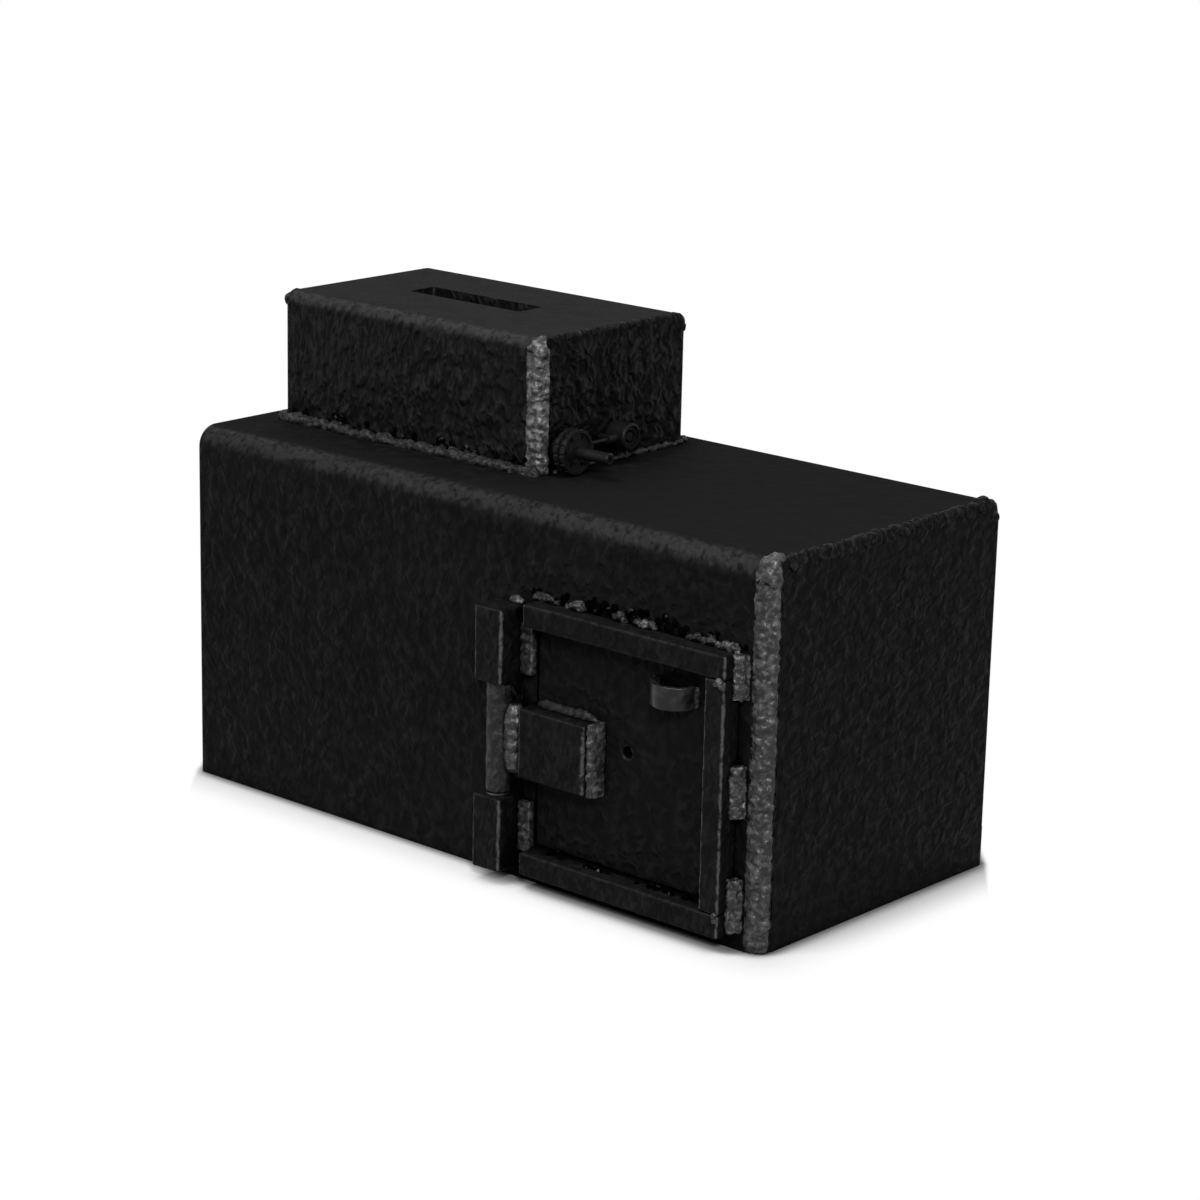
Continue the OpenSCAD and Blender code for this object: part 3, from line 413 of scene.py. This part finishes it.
def run_of_blobs(start, end, radius, step, jitter, seed, gaps=0.0):
    """Overlapping lumps of weld along a line, as (centre, radius) in millimetres."""
    rand = random.Random(seed)
    a, b = Vector(start), Vector(end)
    count = max(2, round((b - a).length / step))
    spots = []
    for i in range(count + 1):
        if rand.random() < gaps:
            continue
        spot = a.lerp(b, i / count) + Vector([rand.uniform(-jitter, jitter) for _ in range(3)])
        spots.append((spot, radius * rand.uniform(0.75, 1.25)))
    return spots


# How far the painted shade colours the faces around a lump's middle, in radii
SHADE_REACH = 1.15


def weld(node, spots=(), *, lumps, keep_cad=True, voxel_mm=0.6, smooth=2, material=WELD_COAT,
         shade_lumps=(), bars=(), zone=None):
    """A raw weld: the CAD node's bead with more lumps laid on it, melted together and pitted.
    Bars are lengths of an outline from one height to another. The lumps listed for shade lie lower,
    and they are dead black as painted shade. Zone gives the material of each face from its middle
    in millimetres."""
    mesh = bmesh.new()
    if keep_cad:
        mesh.from_mesh(frame["nodes"][node].data)
    add_lumps(mesh, list(spots) + list(shade_lumps))
    for outline, low, high in bars:
        foot = [mesh.verts.new(at(x, y, low)) for x, y in outline]
        head = [mesh.verts.new(at(x, y, high)) for x, y in outline]
        mesh.faces.new(foot[::-1])
        mesh.faces.new(head)
        for i in range(len(outline)):
            mesh.faces.new((foot[i - 1], foot[i], head[i], head[i - 1]))
    obj = link(bpy.data.objects.new("laid_" + node, bpy.data.meshes.new("laid_" + node)))
    mesh.to_mesh(obj.data)
    mesh.free()
    go_with(roughen(obj, voxel_mm, lumps, smooth), node, material)
    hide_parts(node)
    if zone:
        for face in obj.data.polygons:
            found = zone((face.center - at(0, 0, 0)) / MM)
            if found and found.name not in obj.data.materials:
                obj.data.materials.append(found)
            if found:
                face.material_index = obj.data.materials.find(found.name)
    # Painted shade: faces near those lumps turn dead black
    if shade_lumps:
        obj.data.materials.append(SHADE_BLACK)
    for face in obj.data.polygons:
        if any((face.center - at(*centre)).length < SHADE_REACH * radius * MM
               for centre, radius in shade_lumps):
            face.material_index = len(obj.data.materials) - 1


def spatter(name, node, spots, material):
    """Small lumps that ran on to the plates beside a node. They go with it and replace nothing."""
    mesh = bmesh.new()
    add_lumps(mesh, spots)
    obj = link(bpy.data.objects.new(name, bpy.data.meshes.new(name)))
    mesh.to_mesh(obj.data)
    mesh.free()
    roughen(obj, voxel_mm=0.6, lumps=((4, 0.8), (1.8, 0.4)), smooth=2)
    go_with(obj, node, material)


def paint(material, *nodes):
    """Gives CAD nodes a material, in place."""
    for node in nodes:
        mesh = frame["nodes"][node].data
        mesh.materials.clear()
        mesh.materials.append(material)


# Plates

paint(BOX_COAT, "body_shell", "back_bar", "bottom_plate", "door_stop_top", "door_stop_right",
      "door_stop_bottom")
paint(END_COAT, "end_plate_left", "end_plate_right", "end_weld_left", "end_weld_right")
paint(HEAD_COAT, "head_shell")
paint(HEAD_END_COAT, "head_end_left", "head_end_right", "head_weld_left", "head_weld_right")
# Painted shade: the guard inside the slot is dead black
paint(SHADE_BLACK, "slot_guard")
coated("door_plate", BOX_COAT, voxel_mm=1.2, lumps=[(16, 0.3), (4, 0.2)])

# Bars and hinge

for name in ("frame_top_bar", "frame_right_bar", "frame_bottom_bar", "hinge_block_upper",
             "hinge_block_lower"):
    coated(name, BAR_COAT, voxel_mm=0.7, lumps=[(9, 0.4), (3, 0.3)], smooth=22)
coated("hinge_strap", BAR_COAT, voxel_mm=0.7, lumps=[(9, 0.3), (3, 0.2)], smooth=22)
coated("hinge_barrel", BARREL_COAT, voxel_mm=0.55, lumps=[(6, 0.5), (2.5, 0.3)], smooth=5)
coated("finger_pull", PULL_COAT, voxel_mm=0.45, lumps=[(5, 0.3)])

# Thick welds down the two front right corners, run up on to the bends. Each lies on a flat, wider
# on the front than on the side, and shows the ripples of its passes.

def rippled(x, y, low, high, radius, step, seed):
    """Round ripples of a weld that was laid upwards, as (centre, radius) in millimetres."""
    rand = random.Random(seed)
    z, ripples = low, []
    while z < high:
        spot = (x + rand.uniform(-0.4, 0.4), y + rand.uniform(-0.3, 0.3), z)
        ripples.append((spot, radius * rand.uniform(0.95, 1.06)))
        z += step * rand.uniform(0.8, 1.3)
    return ripples


BODY_FLAT = [(404, 9), (413, 9), (413, 4.3), (411, 2.2), (407, 0.1), (402.7, -0.3), (402.3, 0.8),
             (404, 2)]
weld("body_corner_weld",
     rippled(406.2, 5.2, low=5, high=197, radius=6.0, step=4.4, seed=31)
     + rippled(409.9, 6.2, low=5, high=197, radius=4.2, step=4.4, seed=32)
     + [((410.7, 4.3, 192.6), 4.4), ((409.4, 3.5, 195.4), 4.6), ((410.4, 4.8, 197.6), 4.2),
        ((405.8, 5.2, 199.6), 4.6), ((409.4, 5.8, 199.8), 4.4), ((407.6, 8.0, 202.4), 3.6),
        ((409.6, 10.2, 202.6), 2.8)],
     keep_cad=False, lumps=((6, 1.1), (2.4, 0.9)), bars=[(BODY_FLAT, 0.2, 197.6)],
     zone=lambda p: END_COAT if p.x > 412.6 and p.y > 6.4 else None)
HEAD_FLAT = [(206, 58), (215, 58), (215, 54.2), (212.6, 51.2), (208.6, 49.1), (205.2, 48.6),
             (205.0, 49.6), (206, 51)]
weld("head_corner_weld",
     rippled(209.2, 54.4, low=205, high=270, radius=5.6, step=4.2, seed=33)
     + rippled(211.6, 55.6, low=205, high=269, radius=4.0, step=4.2, seed=34)
     + [((208.6, 53.6, 270.6), 4.9), ((211.7, 52.5, 268.8), 4.4), ((210.7, 52.6, 271.2), 4.7),
        ((210.6, 55.4, 273.2), 3.9), ((208.2, 56.4, 273.6), 3.2)],
     keep_cad=False, lumps=((6, 1.0), (2.2, 0.8)), bars=[(HEAD_FLAT, 203.2, 271.6)],
     material=BRIGHT_WELD_COAT,
     zone=lambda p: HEAD_END_COAT if p.x > 214.4 and p.y > 55.6 else None)

# Rough welds on the upper edges of the ends, coated like the plates

spatter("ragged_edge_of_box", "end_weld_right",
        run_of_blobs((410.6, 13, 201.2), (410.6, 170, 201.2),
                     radius=2.5, step=1.9, jitter=0.4, seed=21)
        + run_of_blobs((411.9, 15, 198.6), (411.9, 172, 198.6),
                       radius=2.2, step=2.7, jitter=0.9, seed=25, gaps=0.15)
        + [((408.4, 175, 200.2), 4.6), ((408.4, 180, 199.8), 5.2), ((408.6, 184.4, 197.4), 5.6),
           ((409.0, 187.2, 192.4), 4.6)],
        EDGE_COAT)
spatter("ragged_edge_of_head", "head_weld_right",
        run_of_blobs((212.8, 60, 274.8), (212.8, 158, 274.8),
                     radius=2.1, step=1.8, jitter=0.35, seed=22)
        + [((211.4, 159.6, 272.4), 4.6), ((211.4, 163.0, 271.4), 4.8),
           ((211.8, 165.0, 268.0), 3.8)],
        HEAD_COAT)
spatter("ragged_edge_of_head_left", "head_weld_left",
        [((21.0, 53.8, 270.8), 4.5), ((21.2, 57.0, 272.2), 4.4), ((21.2, 163.0, 271.4), 4.4)],
        HEAD_COAT)

# Rough weld around the foot of the head: lumps at its toe, gaps against the wall

# The head's front wall and the top of the box
HEAD_FRONT, BOX_TOP = 49, 203.0
# Where the painted shade lies, as black lumps: before the wall, above the toe, in clusters along
# the foot
SHADE_Y, SHADE_Z = 48.9, 206.6
SHADE_X = (27, 36, 60, 66, 88, 108, 114, 120, 141, 147, 153, 163, 168, 182, 196, 203)


def toe_of_foot(seed):
    """Lumps of uneven size along the front of the head's foot, and black lumps of painted shade
    above them.
    """
    rand = random.Random(seed)
    x, lumps, shade_spots = 20.0, [], []
    while x < 214:
        radius = rand.uniform(3.2, 4.8)
        spot = (x, HEAD_FRONT - rand.uniform(0.2, 2.2), BOX_TOP + rand.uniform(0.0, 1.4))
        lumps.append((spot, radius))
        x += radius * rand.uniform(0.5, 1.0)
    for middle in SHADE_X:
        for _ in range(3):
            spot = (middle + rand.uniform(-3, 3), SHADE_Y, SHADE_Z + rand.uniform(0, 4.5))
            shade_spots.append((spot, rand.uniform(1.0, 1.9)))
    return lumps, shade_spots


TOE, TOE_SHADE = toe_of_foot(7)
weld("head_base_weld",
     TOE
     + run_of_blobs((216.5, 60, 204.0), (216.5, 164, 204.0),
                    radius=2.2, step=3.5, jitter=0.6, seed=6)
     + run_of_blobs((18.2, 50, 204.0), (18.2, 166, 204.0),
                    radius=2.6, step=3.5, jitter=0.6, seed=8)
     + run_of_blobs((22, 168.4, 204.0), (214, 168.4, 204.0),
                    radius=2.6, step=3.5, jitter=0.6, seed=9),
     keep_cad=False, lumps=((7, 2.0), (3, 1.2)), smooth=4, material=BEAD_COAT, shade_lumps=TOE_SHADE)

# Stitch welds on the frame, broken by black lumps of painted shade, and flat ones down its right
# side

TOP_OF_BAR = 154.5
# How far back the stitches, the painted shade behind them and the painted shade at the foot lie
STITCH_Y, BEHIND_Y, FOOT_Y = -1.8, 0.9, -4.9
# Painted shade spreads wider than the radii listed for it
SHADE_SPREAD = 1.25
# Outline of the weld beside the right bar, laid in three lengths
SIDE_FLAT = [(395.0, 0.3), (395.0, -6.4), (396.8, -6.6), (399.8, -4.0), (401.8, -0.6), (401.6, 0.3)]
# Lumps on top of the bar and black lumps of painted shade behind them: x, height over the bar,
# radius
STITCH_LUMPS = [(262.0, 1.4, 2.6), (266.5, 1.6, 3.0), (270.5, 2.4, 2.6), (275.5, 1.0, 2.2),
                (283.0, 0.8, 2.0), (287.0, 1.4, 2.8), (290.5, 2.6, 3.4), (293.0, 1.2, 2.6),
                (315.5, 1.6, 2.2), (319.0, 3.2, 2.6), (321.5, 1.0, 2.0), (330.0, 1.8, 2.4),
                (334.5, 1.4, 3.2), (338.5, 2.2, 2.6), (341.0, 0.8, 2.0), (364.5, 1.2, 2.4),
                (368.5, 2.6, 2.4), (373.0, 1.2, 2.2), (377.5, 2.0, 2.6), (382.5, 1.0, 2.4),
                (387.0, 1.6, 2.8), (391.5, 1.4, 3.2), (394.0, 0.8, 2.2)]
STITCH_SHADE = [(258, 3.4, 1.8), (262, 4.6, 1.6), (278, 3.5, 2.0), (281, 5.4, 1.8), (296, 4.0, 2.4),
               (299, 6.6, 2.0), (302, 3.2, 2.6), (306, 5.6, 2.4), (310, 2.6, 2.2), (313, 6.0, 1.8),
               (325, 5.8, 2.0), (330, 6.4, 2.2), (334, 7.4, 1.8), (342, 5.0, 2.2), (346, 7.4, 2.0),
               (349, 3.2, 2.4), (353, 5.6, 2.0), (357, 2.4, 2.2), (360, 4.6, 1.8), (376, 5.0, 1.6),
               (380, 5.8, 1.6), (398, 3.0, 1.6)]
# Black lumps of painted shade over the bottom bar: x, height over the ground, radius
FOOT_SHADE = [(276, 21.4, 1.9), (280, 22.8, 1.6), (284, 20.8, 1.8), (301, 20.8, 1.8),
             (306, 22.2, 1.7), (311, 20.6, 2.0), (316, 21.6, 1.5), (336, 20.6, 1.8),
             (344, 21.4, 1.7), (349, 20.4, 1.9), (355, 21.8, 1.8), (360, 20.6, 1.8),
             (368, 21.4, 2.0), (373, 22.6, 1.6)]
# The three stitches given the lighter coat as a painted highlight, from x to x, and where the top
# bar ends
BRIGHT_STITCHES = ((285, 293), (331, 338), (381, 394))
TOP_BAR_END, UNDER_TOP_BAR = 394, 150


def dull_stitch(p):
    """The darker coat of the top bar's beads; the stitches with a painted highlight are left out.
    """
    on_bar = p.z > UNDER_TOP_BAR and p.x < TOP_BAR_END
    bright = any(low < p.x < high for low, high in BRIGHT_STITCHES)
    return BEAD_COAT if on_bar and not bright else None


weld("frame_welds",
     [((x, STITCH_Y, TOP_OF_BAR + z), r) for x, z, r in STITCH_LUMPS]
     + [((392.2, -12.2, 141.2), 2.2), ((393.6, -11.8, 138.8), 2.0), ((390.6, -12.4, 139.6), 1.6),
        ((393.4, -12.0, 20.0), 2.0), ((393.8, -11.8, 17.4), 1.6)],
     keep_cad=False, voxel_mm=0.5, lumps=((5, 1.8), (2.0, 1.5)), zone=dull_stitch,
     bars=[(SIDE_FLAT, 131, 154.4), (SIDE_FLAT, 70, 97), (SIDE_FLAT, 10, 38)],
     shade_lumps=[((x, BEHIND_Y, TOP_OF_BAR + z), SHADE_SPREAD * r) for x, z, r in STITCH_SHADE]
     + [((x, FOOT_Y, z), r) for x, z, r in FOOT_SHADE])
weld("hinge_block_welds", lumps=((6, 0.5), (2.4, 0.3)), smooth=6)
weld("barrel_weld", lumps=((6, 0.6), (2.4, 0.3)), smooth=6)
weld("strap_welds", lumps=((6, 0.9), (2.4, 0.35)), smooth=9,
     zone=lambda p: BOX_COAT if p.x < 303 else None)
weld("pull_welds", voxel_mm=0.4, lumps=((3, 0.6),), material=BEAD_COAT)

# Lock and flap

paint(BARE_STEEL, "hinge_pin", "thrust_washer", "lock_front_plate", "lock_case", "lock_bolt",
      "lock_pinion", "deposit_flap", "flap_catch", "side_lock_cam", "spindle_bush_left")
paint(BLACK_STEEL, "spindle_bush_right", "flap_spindle")
paint(DULL_STEEL, "index_disc", "index_pointer", "side_lock_barrel", "side_lock_plug")
paint(ZINC, "side_lock_nut", "lock_screws", "side_lock_cam_screw")

# Camera

FOCAL_PX, FRAME_PX, SENSOR_MM = 3360.46, 1200, 36
AZIMUTH, ELEVATION, ROLL = (math.radians(a) for a in (41.25, 15.50, 1.27))
TARGET = at(302.78, 0, 162.32)
DISTANCE = 1696.22 * MM

cam = link(bpy.data.objects.new("camera", bpy.data.cameras.new("camera")))
cam.data.sensor_width = SENSOR_MM
cam.data.lens = SENSOR_MM * FOCAL_PX / FRAME_PX
back = Vector((math.sin(AZIMUTH) * math.cos(ELEVATION), -math.cos(AZIMUTH) * math.cos(ELEVATION),
               math.sin(ELEVATION)))
right = Vector((0, 0, 1)).cross(back).normalized()
up = back.cross(right)
side = math.cos(ROLL) * right + math.sin(ROLL) * up
top = -math.sin(ROLL) * right + math.cos(ROLL) * up
turn = Matrix((side, top, back)).transposed().to_4x4()
cam.matrix_world = Matrix.Translation(TARGET + DISTANCE * back) @ turn
cam.data.clip_start, cam.data.clip_end = 0.05, 30
bpy.context.scene.camera = cam


# Studio

def sees_white(tree):
    """One for camera, mirror and glass rays, which see the studio as white, and none for others."""
    rays = add(tree, "ShaderNodeLightPath")
    mirror = add(tree, "ShaderNodeMath",
                 {0: rays.outputs["Is Glossy Ray"], 1: rays.outputs["Is Transmission Ray"]},
                 operation="MAXIMUM")
    return add(tree, "ShaderNodeMath", {0: rays.outputs["Is Camera Ray"], 1: mirror.outputs[0]},
               operation="MAXIMUM").outputs[0]


def lamp(name, azimuth, elevation, distance, size, power):
    """A square soft box that faces the middle of the safe."""
    light = bpy.data.lights.new(name, "AREA")
    light.shape = "SQUARE"
    light.size = size
    light.energy = power
    obj = link(bpy.data.objects.new(name, light))
    a, e = math.radians(azimuth), math.radians(elevation)
    away = Vector((math.sin(a) * math.cos(e), -math.cos(a) * math.cos(e), math.sin(e)))
    obj.location = at(256.5, 95.5, 120) + distance * away
    obj.rotation_mode = "QUATERNION"
    obj.rotation_quaternion = (-away).to_track_quat("-Z", "Y")


lamp("key", azimuth=43, elevation=32, distance=1.9, size=0.34, power=29)
lamp("overhead", azimuth=-15, elevation=62, distance=1.9, size=0.6, power=20)

# How much of its white the room throws on to the safe
ROOM_LIGHT = 0.25

world = bpy.data.worlds.new("studio")
bpy.context.scene.world = world
world.use_nodes = True
tree = world.node_tree
tree.nodes.clear()
strength = add(tree, "ShaderNodeMapRange",
               {"Value": sees_white(tree), "To Min": ROOM_LIGHT, "To Max": 1.0})
sky = add(tree, "ShaderNodeBackground", {"Color": WHITE, "Strength": strength.outputs[0]})
out = add(tree, "ShaderNodeOutputWorld")
tree.links.new(sky.outputs[0], out.inputs["Surface"])

# White paper floor: it glows for the camera, and beside the safe's foot it shows a painted shadow,
# on which the lamps' own shadows fall too
HALF = 6.0
# How far from the foot the painted shadow has faded to white, in metres
SHADOW_REACH = 0.035
# Along this way the painted shadow ends soon past the safe's outer corners
ACROSS = (6.2, 5.0, 0)
# How near the safe has to be for the painted shade that darkens the paper, in millimetres
UNDER_MM = 12
floor_mesh = bpy.data.meshes.new("floor")
floor_mesh.from_pydata([(-HALF, -HALF, 0), (HALF, -HALF, 0), (HALF, HALF, 0), (-HALF, HALF, 0)], [],
                       [(0, 1, 2, 3)])
floor = link(bpy.data.objects.new("floor", floor_mesh))
mat, tree, coords = start("white_paper")
past = add(tree, "ShaderNodeVectorMath", {0: coords, 1: at(BOX_L, BOX_W, 0)}, operation="SUBTRACT")
behind = add(tree, "ShaderNodeVectorMath", {0: past.outputs[0], 1: ACROSS}, operation="DOT_PRODUCT")
past = add(tree, "ShaderNodeVectorMath", {0: past.outputs[0], 1: (0, 0, 0)}, operation="MAXIMUM")
before = add(tree, "ShaderNodeVectorMath", {0: at(0, 0, 0), 1: coords}, operation="SUBTRACT")
beside = add(tree, "ShaderNodeVectorMath", {0: before.outputs[0], 1: ACROSS},
             operation="DOT_PRODUCT")
before = add(tree, "ShaderNodeVectorMath", {0: before.outputs[0], 1: (0, 0, 0)},
             operation="MAXIMUM")
reach = add(tree, "ShaderNodeVectorMath", {0: past.outputs[0], 1: before.outputs[0]},
            operation="ADD")
reach = add(tree, "ShaderNodeVectorMath", {0: reach.outputs[0]}, operation="LENGTH")
outer = add(tree, "ShaderNodeMath", {0: behind.outputs["Value"], 1: beside.outputs["Value"]},
            operation="MAXIMUM")
outer = add(tree, "ShaderNodeMath", {0: outer.outputs[0], 1: 0.0}, operation="MAXIMUM")
reach = add(tree, "ShaderNodeMath", {0: reach.outputs["Value"], 1: outer.outputs[0]},
            operation="ADD")
# Painted shadow: near the foot the paper shows, further out it glows white
far = add(tree, "ShaderNodeMapRange",
          {"Value": reach.outputs[0], "From Min": 0.0, "From Max": SHADOW_REACH},
          interpolation_type="SMOOTHSTEP")
gap = add(tree, "ShaderNodeAmbientOcclusion", {"Distance": UNDER_MM * MM}, samples=8)
# Painted shade: the paper's colour darkens where the safe is near
shade = add(tree, "ShaderNodeMapRange",
            {"Value": gap.outputs["AO"], "From Min": 0.5, "From Max": 0.95},
            interpolation_type="SMOOTHSTEP")
shade = add(tree, "ShaderNodeMix",
            {"Factor": shade.outputs[0], "A": rgb("#6e6e6e"), "B": rgb("#dcdcdc")},
            data_type="RGBA")
paper = add(tree, "ShaderNodeBsdfDiffuse", {"Color": shade.outputs["Result"]})
glow = add(tree, "ShaderNodeEmission", {"Color": WHITE, "Strength": sees_white(tree)})
both = add(tree, "ShaderNodeMixShader",
           {"Fac": far.outputs[0], 1: paper.outputs[0], 2: glow.outputs[0]})
finish_material(tree, both)
floor_mesh.materials.append(mat)

bpy.context.scene.view_settings.view_transform = "Standard"
